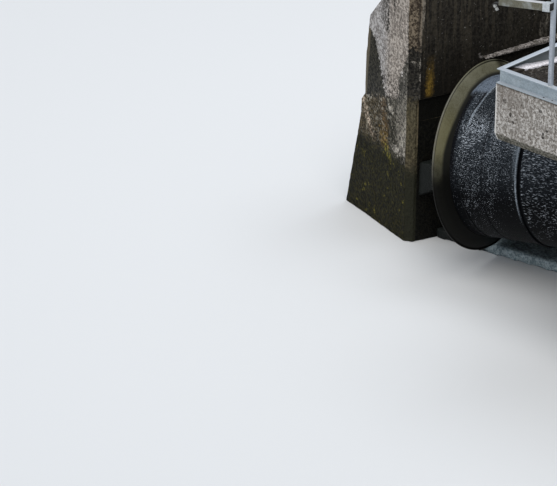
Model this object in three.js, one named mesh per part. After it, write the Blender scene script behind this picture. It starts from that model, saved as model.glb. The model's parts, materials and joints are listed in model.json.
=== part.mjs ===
// Enclosed screw pump in a concrete river structure, millimetres, +Z up.
// Row frame: +X along the deck towards the drive, -Y towards the side the photograph was taken from.
import * as THREE from "three";

// Place of the flange ring's centre in the row frame
const RING_X = -2860;
const RING_Y = -284.2;
const RING_Z = 1100;

// Screw axis: rise above level, and turn in plan against the deck
const RISE_DEG = 7.31;
const TURN_DEG = 7.44;

// Rotor
const FLANGE_R = 962;
const TUBE_R = 800;
const WALL_T = 12;
const COLLAR_LEN = 100;
const BAY = 905;
const BAYS = 6;
const LIP_R = 815;
const CORE_R = 200;
const FLIGHT_PITCH = 1700;
const FLIGHTS = 3;
const FLIGHT_T = 12;
const SIDES = 48;

// Concrete, heights above the ring's centre
const GROUND = -1100;
const FLOOR_TOP = -990;
const PIER_TOP = 1720;
const PIER_DEG = 72.8;
const PIER_FACE = -550;
const PIER_CORNER_T = -447;
const PIER_CHAMFER = 98;
const PIER_RECESS = 30;
const RECESS_Z = 480;
const WALL_TOP = 1490;
const REAR_IN = 1750;
const REAR_OUT = 2164;
const DECK_X0 = 1367;
const DECK_X1 = 4667;
const DECK_FRONT = -1536;
const DECK_BACK = -1216;
const DECK_TOP = 1650;
const DECK_BOTTOM = 1060;
const BEAM_CHAMFER = 80;
const BEAM_UNDERCUT = 45;
const SLAB_BOTTOM = 1490;
const NEAR_X0 = 2600;
const HEAD_X0 = 5000;
const HEAD_X1 = 5300;
const PLATFORM_X0 = 6000;
const PLATFORM_X1 = 7589.5;
const PLATFORM_TOP = 300;

// Steelwork
const CHANNEL_H = 150;
const CHANNEL_W = 60;
const CHANNEL_T = 9;
const POST_X = [2005, 3265, 4525];
const POST_S = 40;
const POST_H = 1100;

// Gap left between pieces that touch
const GAP = 0.3;

const rise = (RISE_DEG * Math.PI) / 180;
const turn = (TURN_DEG * Math.PI) / 180;
const pierTurn = (PIER_DEG * Math.PI) / 180;
const group = new THREE.Group();
group.name = "screw_pump";

// Adds one closed triangle mesh, turned the right way out
function addMesh(name, points, faces, colour) {
  let volume = 0;
  for (const [a, b, c] of faces) {
    const p = points[a];
    const q = points[b];
    const r = points[c];
    volume += p[0] * (q[1] * r[2] - q[2] * r[1]);
    volume += p[1] * (q[2] * r[0] - q[0] * r[2]);
    volume += p[2] * (q[0] * r[1] - q[1] * r[0]);
  }
  const flip = volume < 0;
  const flat = [];
  for (const p of points) {
    flat.push(p[0] + RING_X, p[1] + RING_Y, p[2] + RING_Z);
  }
  const index = [];
  for (const [a, b, c] of faces) {
    index.push(a, flip ? c : b, flip ? b : c);
  }
  const geometry = new THREE.BufferGeometry();
  geometry.setAttribute("position", new THREE.Float32BufferAttribute(flat, 3));
  geometry.setIndex(index);
  geometry.computeVertexNormals();
  const material = new THREE.MeshStandardMaterial({ color: colour });
  material.name = name;
  const mesh = new THREE.Mesh(geometry, material);
  mesh.name = name;
  group.add(mesh);
  return mesh;
}

// Faces of a flat polygon given by 3-D points
function capFaces(ring) {
  const normal = new THREE.Vector3();
  const origin = new THREE.Vector3(...ring[0]);
  for (let i = 1; i + 1 < ring.length; i += 1) {
    const a = new THREE.Vector3(...ring[i]).sub(origin);
    const b = new THREE.Vector3(...ring[i + 1]).sub(origin);
    normal.add(a.cross(b));
  }
  normal.normalize();
  const side = Math.abs(normal.z) < 0.9 ? new THREE.Vector3(0, 0, 1) : new THREE.Vector3(1, 0, 0);
  const u = side.clone().cross(normal).normalize();
  const v = normal.clone().cross(u);
  const flat = ring.map((p) => {
    const d = new THREE.Vector3(...p).sub(origin);
    return new THREE.Vector2(d.dot(u), d.dot(v));
  });
  return THREE.ShapeUtils.triangulateShape(flat, []);
}

// Body through a list of rings of the same number of points, flat ends
function loft(name, rings, colour) {
  const count = rings[0].length;
  const points = rings.flat();
  const faces = [];
  for (let k = 0; k + 1 < rings.length; k += 1) {
    for (let i = 0; i < count; i += 1) {
      const j = (i + 1) % count;
      const a = k * count + i;
      const b = k * count + j;
      faces.push([a, b, b + count], [a, b + count, a + count]);
    }
  }
  const last = (rings.length - 1) * count;
  for (const [a, b, c] of capFaces(rings[0])) {
    faces.push([a, c, b]);
  }
  for (const [a, b, c] of capFaces(rings[rings.length - 1])) {
    faces.push([last + a, last + b, last + c]);
  }
  return addMesh(name, points, faces, colour);
}

// Upright prism over a plan polygon
function prism(name, plan, low, high, colour) {
  return loft(name, [plan.map(([x, y]) => [x, y, low]), plan.map(([x, y]) => [x, y, high])], colour);
}

// Box between two corners
function box(name, low, high, colour) {
  const plan = [[low[0], low[1]], [high[0], low[1]], [high[0], high[1]], [low[0], high[1]]];
  return prism(name, plan, low[2], high[2], colour);
}

// Point at distance s along the screw axis, radius r, angle q from the far side upwards
function onScrew(s, r, q) {
  const across = r * Math.cos(q);
  const up = r * Math.sin(q);
  const level = s * Math.cos(rise) - up * Math.sin(rise);
  return [
    level * Math.cos(turn) - across * Math.sin(turn),
    level * Math.sin(turn) + across * Math.cos(turn),
    s * Math.sin(rise) + up * Math.cos(rise),
  ];
}

// Point at level distance a along the axis, c across it, height z
function besideScrew(a, c, z) {
  return [a * Math.cos(turn) - c * Math.sin(turn), a * Math.sin(turn) + c * Math.cos(turn), z];
}

// Round body about the screw axis; a profile is closed, or starts and ends on the axis
function revolve(name, profile, sides, colour) {
  const solid = profile[0][1] === 0;
  const count = profile.length;
  const points = [];
  const faces = [];
  for (let i = 0; i < sides; i += 1) {
    const q = (i * 2 * Math.PI) / sides;
    const body = solid ? profile.slice(1, -1) : profile;
    for (const [s, r] of body) {
      points.push(onScrew(s, r, q));
    }
  }
  const rows = solid ? count - 2 : count;
  for (let i = 0; i < sides; i += 1) {
    const j = (i + 1) % sides;
    for (let k = 0; k < (solid ? rows - 1 : rows); k += 1) {
      const n = (k + 1) % rows;
      const a = i * rows + k;
      const b = j * rows + k;
      faces.push([a, b, j * rows + n], [a, j * rows + n, i * rows + n]);
    }
  }
  if (solid) {
    const first = points.length;
    points.push(onScrew(profile[0][0], 0, 0));
    points.push(onScrew(profile[count - 1][0], 0, 0));
    for (let i = 0; i < sides; i += 1) {
      const j = (i + 1) % sides;
      faces.push([first, j * rows, i * rows]);
      faces.push([first + 1, i * rows + rows - 1, j * rows + rows - 1]);
    }
  }
  return addMesh(name, points, faces, colour);
}

// Place in plan: t along the pier, n out of its river side face
function onPier(t, n) {
  return [
    t * Math.cos(pierTurn) + n * Math.sin(pierTurn),
    t * Math.sin(pierTurn) - n * Math.cos(pierTurn),
  ];
}

// Distance along the pier at which its line n out reaches height y in plan
function pierReach(n, y) {
  return (y + n * Math.cos(pierTurn)) / Math.sin(pierTurn);
}

// Pier nose and foot: chamfered river side corner, leaning left side, a shoulder on the left alone
const pierEndT = PIER_CORNER_T - PIER_CHAMFER;
function pierRing(z, left, recess) {
  const right = PIER_FACE - recess;
  const corner = PIER_FACE - PIER_CHAMFER - left;
  const plan = [
    onPier(PIER_CORNER_T - recess, right),
    onPier(pierReach(right, REAR_OUT), right),
    onPier(pierReach(corner, REAR_OUT), corner),
    onPier(pierEndT, corner),
    onPier(pierEndT, PIER_FACE - PIER_CHAMFER),
  ];
  return plan.map(([x, y]) => [x, y, z]);
}
const FOOT_Z = 230;
const FOOT_LEFT = 1140.3;
loft("pier_nose", [
  pierRing(FOOT_Z + GAP, 810, PIER_RECESS),
  pierRing(RECESS_Z - 20, 806, PIER_RECESS),
  pierRing(RECESS_Z, 806, 0),
  pierRing(700, 802, 0),
  pierRing(1110, 745, 0),
  pierRing(PIER_TOP, 208, 0),
], "#b9b1a4");
loft("pier_foot", [
  pierRing(GROUND, FOOT_LEFT, PIER_RECESS),
  pierRing(0, 884, PIER_RECESS),
  pierRing(150, 875, PIER_RECESS),
  pierRing(FOOT_Z, 810, PIER_RECESS),
], "#5a5345");

// Ledge along the pier's river side, rising a little and growing thicker towards the rear
const ledgeStart = PIER_CORNER_T + 727;
function ledgeRing(reach, low, lip, top) {
  const inner = reach(PIER_FACE + GAP);
  const outer = reach(PIER_FACE + 60);
  return [[...inner, low], [...outer, low], [...outer, lip], [...inner, top]];
}
loft("wall_ledge", [
  ledgeRing((n) => onPier(ledgeStart, n), 790, 802, 814),
  ledgeRing((n) => onPier(pierReach(n, REAR_IN - GAP), n), 857, 909, 937),
], "#a9a290");

// Rear wall, cut to the pier's side
const rearIn = onPier(pierReach(PIER_FACE + GAP, REAR_IN), PIER_FACE + GAP);
const rearOut = onPier(pierReach(PIER_FACE + GAP, REAR_OUT), PIER_FACE + GAP);
prism("rear_wall", [
  [rearIn[0], REAR_IN],
  [PLATFORM_X0 - GAP, REAR_IN],
  [PLATFORM_X0 - GAP, REAR_OUT],
  [rearOut[0], REAR_OUT],
], GROUND, WALL_TOP - GAP, "#8d877c");

// Wall on the near side, headwall with the tube's notch, trough and drive platform
box("near_wall", [NEAR_X0, DECK_FRONT, GROUND], [HEAD_X1, DECK_BACK, DECK_BOTTOM - GAP], "#9d968a");
const notchAt = onScrew(5150 / (Math.cos(rise) * Math.cos(turn)), 0, 0);
const notchR = 870;
const headRing = [
  [DECK_BACK + GAP, GROUND],
  [REAR_IN - GAP, GROUND],
  [REAR_IN - GAP, DECK_BOTTOM],
  [notchAt[1] + notchR, DECK_BOTTOM],
];
for (let i = 0; i <= 16; i += 1) {
  const q = (i * Math.PI) / 16;
  headRing.push([notchAt[1] + notchR * Math.cos(q), notchAt[2] - notchR * Math.sin(q)]);
}
headRing.push([notchAt[1] - notchR, DECK_BOTTOM], [DECK_BACK + GAP, DECK_BOTTOM]);
loft("headwall", [
  headRing.map(([y, z]) => [HEAD_X0, y, z]),
  headRing.map(([y, z]) => [HEAD_X1, y, z]),
], "#8f897e");
box("trough_floor", [HEAD_X1 + GAP, -1250, GROUND], [PLATFORM_X0 - GAP, REAR_IN - GAP, -330], "#7b766b");
box("outlet_weir", [HEAD_X1 + GAP, DECK_FRONT, GROUND], [PLATFORM_X0 - GAP, -1250 - GAP, -60], "#837d72");
box("drive_platform", [PLATFORM_X0, DECK_FRONT, GROUND], [PLATFORM_X1, REAR_OUT, PLATFORM_TOP], "#9a9488");

// Channel floor under the tube
const floorGap = PIER_FACE - PIER_RECESS + GAP;
const floorRear = onPier(pierReach(floorGap, REAR_IN - GAP), floorGap);
const floorFront = onPier(pierReach(floorGap, -36), floorGap);
prism("channel_floor", [
  floorFront,
  [NEAR_X0 - 100, 420],
  [NEAR_X0 - 100, DECK_BACK + GAP],
  [HEAD_X0 - GAP, DECK_BACK + GAP],
  [HEAD_X0 - GAP, REAR_IN - GAP],
  floorRear,
], GROUND, FLOOR_TOP, "#45473c");

// Deck: front beam with a chamfered lower edge, slab behind it, mortar kerb at the left end
const beamRing = [
  [DECK_FRONT + BEAM_UNDERCUT, DECK_BOTTOM],
  [DECK_BACK, DECK_BOTTOM],
  [DECK_BACK, DECK_TOP],
  [DECK_FRONT, DECK_TOP],
  [DECK_FRONT, DECK_BOTTOM + BEAM_CHAMFER],
];
loft("deck_beam", [
  beamRing.map(([y, z]) => [DECK_X0, y, z]),
  beamRing.map(([y, z]) => [DECK_X1, y, z]),
], "#a8a198");
box("deck_slab", [DECK_X0, DECK_BACK + GAP, SLAB_BOTTOM], [DECK_X1, REAR_OUT, DECK_TOP], "#8b8378");

// Steel channel frame on the deck: front and rear open outwards, the sides between them open inwards
const channel = [
  [0, 0], [CHANNEL_W, 0], [CHANNEL_W, CHANNEL_T], [CHANNEL_T, CHANNEL_T],
  [CHANNEL_T, CHANNEL_H - CHANNEL_T], [CHANNEL_W, CHANNEL_H - CHANNEL_T],
  [CHANNEL_W, CHANNEL_H], [0, CHANNEL_H],
];
function channelBar(name, from, to, out) {
  const ring = ([x, y]) => channel.map(([w, h]) => [x + out[0] * w, y + out[1] * w, DECK_TOP + GAP + h]);
  return loft(name, [ring(from), ring(to)], "#9fa9b1");
}
const frameX0 = DECK_X0 + 4;
const frameX1 = DECK_X1 - 4;
const webY0 = DECK_FRONT + CHANNEL_W;
const webY1 = REAR_OUT - CHANNEL_W - 200;
channelBar("frame_front", [frameX0, webY0], [frameX1, webY0], [0, -1]);
channelBar("frame_right", [frameX1, webY0 + GAP], [frameX1, webY1 - GAP], [-1, 0]);
channelBar("frame_rear", [frameX1, webY1], [frameX0, webY1], [0, 1]);
channelBar("frame_left", [frameX0, webY1 - GAP], [frameX0, webY0 + GAP], [1, 0]);

// Mortar kerb packed over the lower flange of the left channel, higher towards the front
const kerbIn = frameX0 + CHANNEL_T + GAP;
const kerbOut = kerbIn + 80;
const overFlange = DECK_TOP + CHANNEL_T + 2 * GAP;
function kerbRing(y, inner, outer) {
  const ring = [
    [kerbIn, overFlange], [kerbIn, DECK_TOP + inner], [kerbOut, DECK_TOP + outer],
    [kerbOut, DECK_TOP + GAP], [frameX0 + CHANNEL_W + GAP, DECK_TOP + GAP],
    [frameX0 + CHANNEL_W + GAP, overFlange],
  ];
  return ring.map(([x, z]) => [x, y, z]);
}
loft("deck_kerb", [
  kerbRing(webY0 + 3, 106, 104),
  kerbRing(-1320, 104, 96),
  kerbRing(-1150, 93, 66),
  kerbRing(-1010, 62, 47),
  kerbRing(-790, 24, 22),
  kerbRing(webY1 - 30, 20, 18),
], "#b3a68c");

// Silt heaped behind the front channel
function siltRing(x, high, back) {
  const far = webY0 + back;
  return [
    [x, webY0 + GAP, DECK_TOP + GAP], [x, far, DECK_TOP + GAP],
    [x, far, DECK_TOP + 7], [x, webY0 + GAP, DECK_TOP + high],
  ];
}
loft("deck_silt", [
  siltRing(kerbOut + GAP, 98, 720),
  siltRing(2000, 92, 700),
  siltRing(2500, 45, 480),
  siltRing(2800, 10, 240),
], "#4b3a2c");

// Railing on the front channel: posts, top rail, and a short arm clipped to the first post
const railY = DECK_FRONT + 5 + POST_S / 2;
const postFoot = DECK_TOP + GAP + CHANNEL_H + GAP;
const postTop = postFoot + POST_H;
POST_X.forEach((x, i) => {
  const half = POST_S / 2;
  box(`post_${i + 1}`, [x - half, railY - half, postFoot], [x + half, railY + half, postTop], "#a7adb0");
});
box(
  "top_rail",
  [POST_X[0] - 60, railY - 25, postTop + GAP],
  [POST_X[2] + 60, railY + 25, postTop + GAP + 50],
  "#a7adb0",
);
const armX0 = 1409;
const armX1 = POST_X[0] + POST_S / 2 - 2;
const armH = 75;
const armBack = railY - POST_S / 2 - GAP;
const armFront = armBack - 60;
function armLow(x) {
  return 2461 + (x - armX0) * 0.181;
}
function armRing(x) {
  const z = armLow(x);
  return [[x, armFront, z], [x, armBack, z], [x, armBack, z + armH], [x, armFront, z + armH]];
}
loft("sloping_rail", [armRing(armX0), armRing(armX1)], "#8f9486");
function clipRing(x) {
  const z = armLow(x);
  const front = armFront - GAP;
  return [
    [x, front - 4, z - 4], [x, armBack, z - 4], [x, armBack, z - GAP], [x, front, z - GAP],
    [x, front, z + armH + GAP], [x, armBack, z + armH + GAP], [x, armBack, z + armH + 4],
    [x, front - 4, z + armH + 4],
  ];
}
loft("rail_bracket", [clipRing(armX1 - 85), clipRing(armX1)], "#c2c4c0");

// Bent hook on the arm's free end
const hookSide = [
  [armX0 - GAP, 2484], [armX0 - GAP, 2463], [1348, 2449], [1388, 2402], [1370, 2384],
  [1317, 2434], [1328, 2458], [1350, 2470],
];
loft("end_hook", [
  hookSide.map(([x, z]) => [x, armFront + 18, z]),
  hookSide.map(([x, z]) => [x, armFront + 42, z]),
], "#d6d6d0");

// Rotor: dished end collar
const cone = (TUBE_R - FLANGE_R + 14) / (COLLAR_LEN - 10);
revolve("end_collar", [
  [-12, FLANGE_R],
  [12, FLANGE_R],
  [12, FLANGE_R - 8],
  [4, FLANGE_R - 12],
  [10, FLANGE_R - 16],
  [COLLAR_LEN, TUBE_R],
  [COLLAR_LEN, TUBE_R - WALL_T],
  [COLLAR_LEN - 12, TUBE_R - WALL_T],
  [-12, FLANGE_R - 40],
], SIDES * 2, "#4d5138");

// Rotor: tube sections, each ending in a raised lip; the first also has a bead by the collar
const tubeIn = TUBE_R - WALL_T;
for (let k = 0; k < BAYS; k += 1) {
  const from = (k === 0 ? COLLAR_LEN : k * BAY) + GAP;
  const to = (k + 1) * BAY;
  const profile = [[from, tubeIn], [from, TUBE_R]];
  if (k === 0) {
    profile.push([210, TUBE_R], [216, TUBE_R + 7], [232, TUBE_R + 7], [238, TUBE_R]);
  }
  profile.push([to - 42, TUBE_R], [to - 38, LIP_R], [to - 6, LIP_R], [to, LIP_R - 8], [to, tubeIn]);
  revolve(`tube_${k + 1}`, profile, SIDES, "#26292b");
}

// Rotor: core pipe with its two stub shafts
const tubeEnd = BAYS * BAY;
revolve("core_shaft", [
  [-470, 0], [-470, 70], [-100, 70], [-100, CORE_R], [tubeEnd + 60, CORE_R],
  [tubeEnd + 60, 90], [tubeEnd + 1000, 90], [tubeEnd + 1000, 0],
], SIDES, "#3c4040");

// Rotor: helical flights between core and tube, their corners on the corners of both
const stepDeg = 360 / SIDES;
const flightIn = CORE_R + GAP;
const flightOut = tubeIn - GAP;
const flightFrom = 130;
const flightTo = tubeEnd - 60;
const steps = Math.floor(((flightTo - flightFrom) * 360) / FLIGHT_PITCH / stepDeg);
for (let f = 0; f < FLIGHTS; f += 1) {
  const points = [];
  const faces = [];
  for (let i = 0; i <= steps; i += 1) {
    const q = ((i * stepDeg + (f * 360) / FLIGHTS) * Math.PI) / 180;
    const s = flightFrom + (i * stepDeg * FLIGHT_PITCH) / 360;
    points.push(
      onScrew(s - FLIGHT_T / 2, flightIn, q),
      onScrew(s + FLIGHT_T / 2, flightIn, q),
      onScrew(s + FLIGHT_T / 2, flightOut, q),
      onScrew(s - FLIGHT_T / 2, flightOut, q),
    );
  }
  for (let i = 0; i < steps; i += 1) {
    const a = i * 4;
    const b = a + 4;
    faces.push([a + 1, a + 2, b + 2], [a + 1, b + 2, b + 1]);
    faces.push([a, b + 3, a + 3], [a, b, b + 3]);
    faces.push([a + 2, a + 3, b + 3], [a + 2, b + 3, b + 2]);
    faces.push([a, a + 1, b + 1], [a, b + 1, b]);
  }
  const last = steps * 4;
  faces.push([0, 3, 2], [0, 2, 1]);
  faces.push([last, last + 1, last + 2], [last, last + 2, last + 3]);
  addMesh(`flight_${f + 1}`, points, faces, "#4a4d49");
}

// Lower bearing on a corbel from the pier's side
function bearingRing(s, inner, outer) {
  return [[s[0], inner], [s[0], outer], [s[1], outer], [s[1], inner]];
}
revolve("lower_bearing", bearingRing([-460, -290], 76, 130), 32, "#5b6a60");
const corbelC = 150;
const alongAxis = Math.sin(pierTurn) * Math.cos(turn) - Math.cos(pierTurn) * Math.sin(turn);
const acrossAxis = -Math.sin(pierTurn) * Math.sin(turn) - Math.cos(pierTurn) * Math.cos(turn);
function corbelWall(c) {
  return (PIER_FACE - PIER_RECESS + GAP - c * acrossAxis) / alongAxis;
}
function corbelTop(a) {
  return a * Math.tan(rise) - (130 + GAP) / Math.cos(rise);
}
const corbelA = [-280, -280, corbelWall(corbelC), corbelWall(-corbelC)];
const corbelAcross = [-corbelC, corbelC, corbelC, -corbelC];
const corbelLow = [-300, -300, -600, -600];
loft("lower_corbel", [
  corbelA.map((a, i) => besideScrew(a, corbelAcross[i], corbelLow[i])),
  corbelA.map((a, i) => besideScrew(a, corbelAcross[i], corbelTop(a))),
], "#6b6a5d");

// Drive: plinth, upper bearing, gearbox and motor in line with the shaft
function plinthTop(a) {
  return a * Math.tan(rise) - 300 / Math.cos(rise);
}
const plinthA = [6110, 7450];
const plinthPlan = [
  [plinthA[0], -330], [plinthA[1], -330], [plinthA[1], 330], [plinthA[0], 330],
];
loft("drive_plinth", [
  plinthPlan.map(([a, c]) => besideScrew(a, c, PLATFORM_TOP + GAP)),
  plinthPlan.map(([a, c]) => besideScrew(a, c, plinthTop(a))),
], "#a19b8f");
function screwBox(name, s0, s1, half, low, high, colour) {
  const corner = (s, c, u) => onScrew(s, Math.hypot(c, u), Math.atan2(u, c));
  return loft(name, [
    [corner(s0, -half, low), corner(s1, -half, low), corner(s1, half, low), corner(s0, half, low)],
    [corner(s0, -half, high), corner(s1, -half, high), corner(s1, half, high), corner(s0, half, high)],
  ], colour);
}
const bearingAt = tubeEnd + 720;
revolve("upper_bearing", bearingRing([bearingAt - 90, bearingAt + 90], 96, 190), 32, "#5b6a60");
screwBox("bearing_stool", bearingAt - 110, bearingAt + 110, 220, -300 + GAP, -190 - GAP, "#56635b");
screwBox("gearbox", tubeEnd + 1010, tubeEnd + 1400, 240, -300 + GAP, 230, "#3f6172");
revolve("motor", [
  [tubeEnd + 1400 + GAP, 0], [tubeEnd + 1400 + GAP, 175], [tubeEnd + 1880, 175],
  [tubeEnd + 1900, 150], [tubeEnd + 1900, 0],
], 32, "#3f6172");

export default group;
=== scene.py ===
import json
import math

import bpy
from mathutils import Matrix, Vector


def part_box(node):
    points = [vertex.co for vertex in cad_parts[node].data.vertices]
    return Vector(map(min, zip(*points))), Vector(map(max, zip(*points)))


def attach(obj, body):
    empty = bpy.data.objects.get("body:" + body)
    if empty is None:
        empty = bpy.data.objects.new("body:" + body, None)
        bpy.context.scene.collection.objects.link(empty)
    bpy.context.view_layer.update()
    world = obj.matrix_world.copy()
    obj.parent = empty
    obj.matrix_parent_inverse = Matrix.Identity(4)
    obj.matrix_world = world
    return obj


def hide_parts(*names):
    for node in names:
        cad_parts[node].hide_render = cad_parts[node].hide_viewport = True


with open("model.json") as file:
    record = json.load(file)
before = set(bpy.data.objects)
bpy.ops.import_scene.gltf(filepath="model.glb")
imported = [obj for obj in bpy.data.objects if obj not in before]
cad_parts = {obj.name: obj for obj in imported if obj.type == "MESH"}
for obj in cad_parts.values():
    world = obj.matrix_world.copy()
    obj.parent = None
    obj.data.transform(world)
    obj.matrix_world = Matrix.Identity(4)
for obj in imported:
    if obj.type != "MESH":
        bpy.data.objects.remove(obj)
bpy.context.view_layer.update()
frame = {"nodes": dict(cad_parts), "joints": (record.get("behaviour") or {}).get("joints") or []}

# Viewpoint, light and floor
# The camera stands 42 m off with a long lens, a quarter turn round from the deck's front.
# A wide sky light, an overhead softbox and one soft sun in front light a plain pale floor.
spin = frame["joints"][0]
ring_centre = Vector(spin["pos_m"])
screw_axis = Vector(spin["axis"]).normalized()
view_turn = math.radians(42.8)
view_rise = math.radians(25.18)
view_roll = math.radians(0.67)
stand = Vector((24.573, -29.574, 17.048))
back = Vector((
    math.sin(view_turn) * math.cos(view_rise),
    -math.cos(view_turn) * math.cos(view_rise),
    math.sin(view_rise),
))
level = Vector((math.cos(view_turn), math.sin(view_turn), 0))
right = level * math.cos(view_roll) + back.cross(level) * math.sin(view_roll)
camera_data = bpy.data.cameras.new("camera")
camera_data.lens = 271.45
camera_data.sensor_width = 36
camera_data.clip_end = 500
camera = bpy.data.objects.new("camera", camera_data)
bpy.context.scene.collection.objects.link(camera)
camera.matrix_world = (
    Matrix.Translation(ring_centre + stand)
    @ Matrix((right, back.cross(right), back)).transposed().to_4x4()
)
bpy.context.scene.camera = camera

world = bpy.data.worlds.new("soft_sky")
bpy.context.scene.world = world
world.use_nodes = True
sky = world.node_tree.nodes["Background"].inputs
sky["Color"].default_value = (0.8, 0.88, 1, 1)
sky["Strength"].default_value = 0.55
bpy.context.scene.view_settings.view_transform = "Standard"


def aim_light(name, kind, toward, strength, size, tint):
    lamp_data = bpy.data.lights.new(name, kind)
    lamp_data.energy = strength
    lamp_data.color = tint
    if kind == "SUN":
        lamp_data.angle = size
    else:
        lamp_data.size = size
    lamp = bpy.data.objects.new(name, lamp_data)
    bpy.context.scene.collection.objects.link(lamp)
    turned = Vector(toward).to_track_quat("Z", "Y").to_matrix().to_4x4()
    lamp.matrix_world = Matrix.Translation(ring_centre + Vector(toward)) @ turned


def begin(name, primitive, **sizes):
    bpy.ops.object.select_all(action="DESELECT")
    primitive(**sizes)
    piece = bpy.context.object
    piece.name = name
    return piece


aim_light("soft_sun", "SUN", (3.5, -7, 13), 2.3, 0.9, (1, 0.97, 0.92))
aim_light("overhead_softbox", "AREA", (1.5, 3, 11), 400, 6, (0.92, 0.96, 1))

floor = begin("studio_floor", bpy.ops.mesh.primitive_plane_add, size=240, location=(0, 0, -0.002))
floor_look = bpy.data.materials.new("studio_floor")
floor_look.use_nodes = True
matt = floor_look.node_tree.nodes["Principled BSDF"].inputs
matt["Base Color"].default_value = (0.66, 0.67, 0.68, 1)
matt["Roughness"].default_value = 0.9
floor.data.materials.append(floor_look)

# Concrete pier
# Cast in place with a chamfered nose, a leaning left side and a bevelled shoulder. The end face
# is dry and pale with dark run marks, the river side is black with wet and with painted shade
# low down beside the tube, the foot is mossy.
pier_turn = math.radians(72.8)
along_pier = Vector((math.cos(pier_turn), math.sin(pier_turn), 0))
off_pier = Vector((math.sin(pier_turn), -math.cos(pier_turn), 0))
side_face = -0.55
corner_t = -0.447
chamfer_width = 0.098


def pick(piece):
    bpy.ops.object.select_all(action="DESELECT")
    piece.select_set(True)
    bpy.context.view_layer.objects.active = piece


def open_mesh():
    bpy.ops.object.mode_set(mode="EDIT")
    bpy.ops.mesh.select_all(action="SELECT")


def close_mesh():
    bpy.ops.object.mode_set(mode="OBJECT")


def copy_of(first, name):
    piece = first.copy()
    piece.data = first.data.copy()
    piece.name = name
    bpy.context.scene.collection.objects.link(piece)
    return piece


def from_node(node, name):
    piece = copy_of(frame["nodes"][node], name)
    piece.parent = None
    piece.matrix_world = Matrix.Identity(4)
    for key in list(piece.keys()):
        del piece[key]
    piece.data.materials.clear()
    pick(piece)
    bpy.ops.mesh.customdata_custom_splitnormals_clear()
    open_mesh()
    bpy.ops.mesh.remove_doubles(threshold=0.00005)
    bpy.ops.mesh.dissolve_limited(angle_limit=0.01)
    close_mesh()
    return piece


def apply_all(piece):
    pick(piece)
    for modifier in list(piece.modifiers):
        bpy.ops.object.modifier_apply(modifier=modifier.name)


def shade_smooth(degrees):
    bpy.ops.object.shade_smooth_by_angle(angle=math.radians(degrees))


def soften_edges(piece, width, segments=2):
    bevel = piece.modifiers.new("arris", "BEVEL")
    bevel.width = width
    bevel.segments = segments
    bevel.limit_method = "ANGLE"
    apply_all(piece)
    shade_smooth(35)


def dent_surface(piece, wave, grit):
    for size, depth in ((0.35, wave), (0.045, grit)):
        cloud = bpy.data.textures.new(piece.name, "CLOUDS")
        cloud.noise_scale = size
        cloud.noise_depth = 3
        dent = piece.modifiers.new("dent", "DISPLACE")
        dent.texture = cloud
        dent.strength = depth
        dent.mid_level = 0.62
    apply_all(piece)


def crisp_skin(piece, step, edge, wave, grit, *directions):
    if edge:
        soften_edges(piece, edge)
    corners = [vertex.co.copy() for vertex in piece.data.vertices]
    bpy.ops.object.mode_set(mode="EDIT")
    for direction in directions:
        reach = [direction.dot(corner) for corner in corners]
        at = min(reach) + step * 0.7
        while at < max(reach) - step * 0.3:
            bpy.ops.mesh.select_all(action="SELECT")
            bpy.ops.mesh.bisect(plane_co=direction * at, plane_no=direction)
            at += step
    close_mesh()
    dent_surface(piece, wave, grit)
    shade_smooth(40)


def settle(piece, look, slot, *nodes, body="structure"):
    piece.data.materials.append(look)
    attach(piece, body)
    if nodes:
        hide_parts(*nodes)


class Tone:
    """A colour, mask or value that changes over a surface. A sign between two makes a node."""

    def __init__(self, socket):
        self.socket = socket

    def __add__(self, other):
        return sums("ADD", self, other)

    def __sub__(self, other):
        return sums("SUBTRACT", self, other)

    def __rsub__(self, other):
        return sums("SUBTRACT", other, self)

    def __mul__(self, other):
        return sums("MULTIPLY", self, other)

    def __truediv__(self, other):
        return sums("DIVIDE", self, other)

    def __mod__(self, other):
        return sums("FLOORED_MODULO", self, other)

    def __abs__(self):
        return sums("ABSOLUTE", self)


def tones(node):
    return {key: Tone(out) for k, out in enumerate(node.outputs) for key in (k, out.name)}


def feed(node, values):
    for label, value in values.items():
        socket = node.inputs[label]
        if isinstance(value, Tone):
            node.id_data.links.new(value.socket, socket)
        else:
            socket.default_value = (*value, 1) if socket.type == "RGBA" else value


def put(kind, values, **settings):
    tree = next(value.socket.id_data for value in values.values() if isinstance(value, Tone))
    node = tree.nodes.new(kind)
    for label, value in settings.items():
        setattr(node, label, value)
    feed(node, values)
    return tones(node)


def noise(place, scale, detail=4, rough=0.55, warp=0):
    values = {
        "Vector": place, "Scale": scale, "Detail": detail, "Roughness": rough, "Distortion": warp
    }
    return put("ShaderNodeTexNoise", values)[0]


def ramp(value, low, high):
    values = {"Value": value, "From Min": low, "From Max": high}
    return put("ShaderNodeMapRange", values, interpolation_type="SMOOTHSTEP")[0]


def between(value, start, full, fade, gone):
    return ramp(value, start, full) * ramp(value, gone, fade)


def slide(value, low, high, first, last):
    values = {"Value": value, "From Min": low, "From Max": high, "To Min": first, "To Max": last}
    return put("ShaderNodeMapRange", values)[0]


def sums(operation, first, second=0):
    return put("ShaderNodeMath", {0: first, 1: second}, operation=operation)[0]


def most(first, *others):
    for other in others:
        first = sums("MAXIMUM", first, other)
    return first


def over(mask, under, top):
    return put("ShaderNodeMix", {0: mask, 6: under, 7: top}, data_type="RGBA")[2]


def coats(colour, *layers):
    for mask, tint in layers:
        colour = over(mask, colour, tint)
    return colour


def along(place, direction):
    values = {0: place, 1: tuple(direction)}
    return put("ShaderNodeVectorMath", values, operation="DOT_PRODUCT")[1]


def stretched(place, scale):
    return put("ShaderNodeVectorMath", {0: place, 1: scale}, operation="MULTIPLY")[0]


def from_ring(place, axis, beyond=0):
    k = "xyz".index(axis)
    return along(place, [float(n == k) for n in range(3)]) - (ring_centre[k] + beyond)


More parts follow.
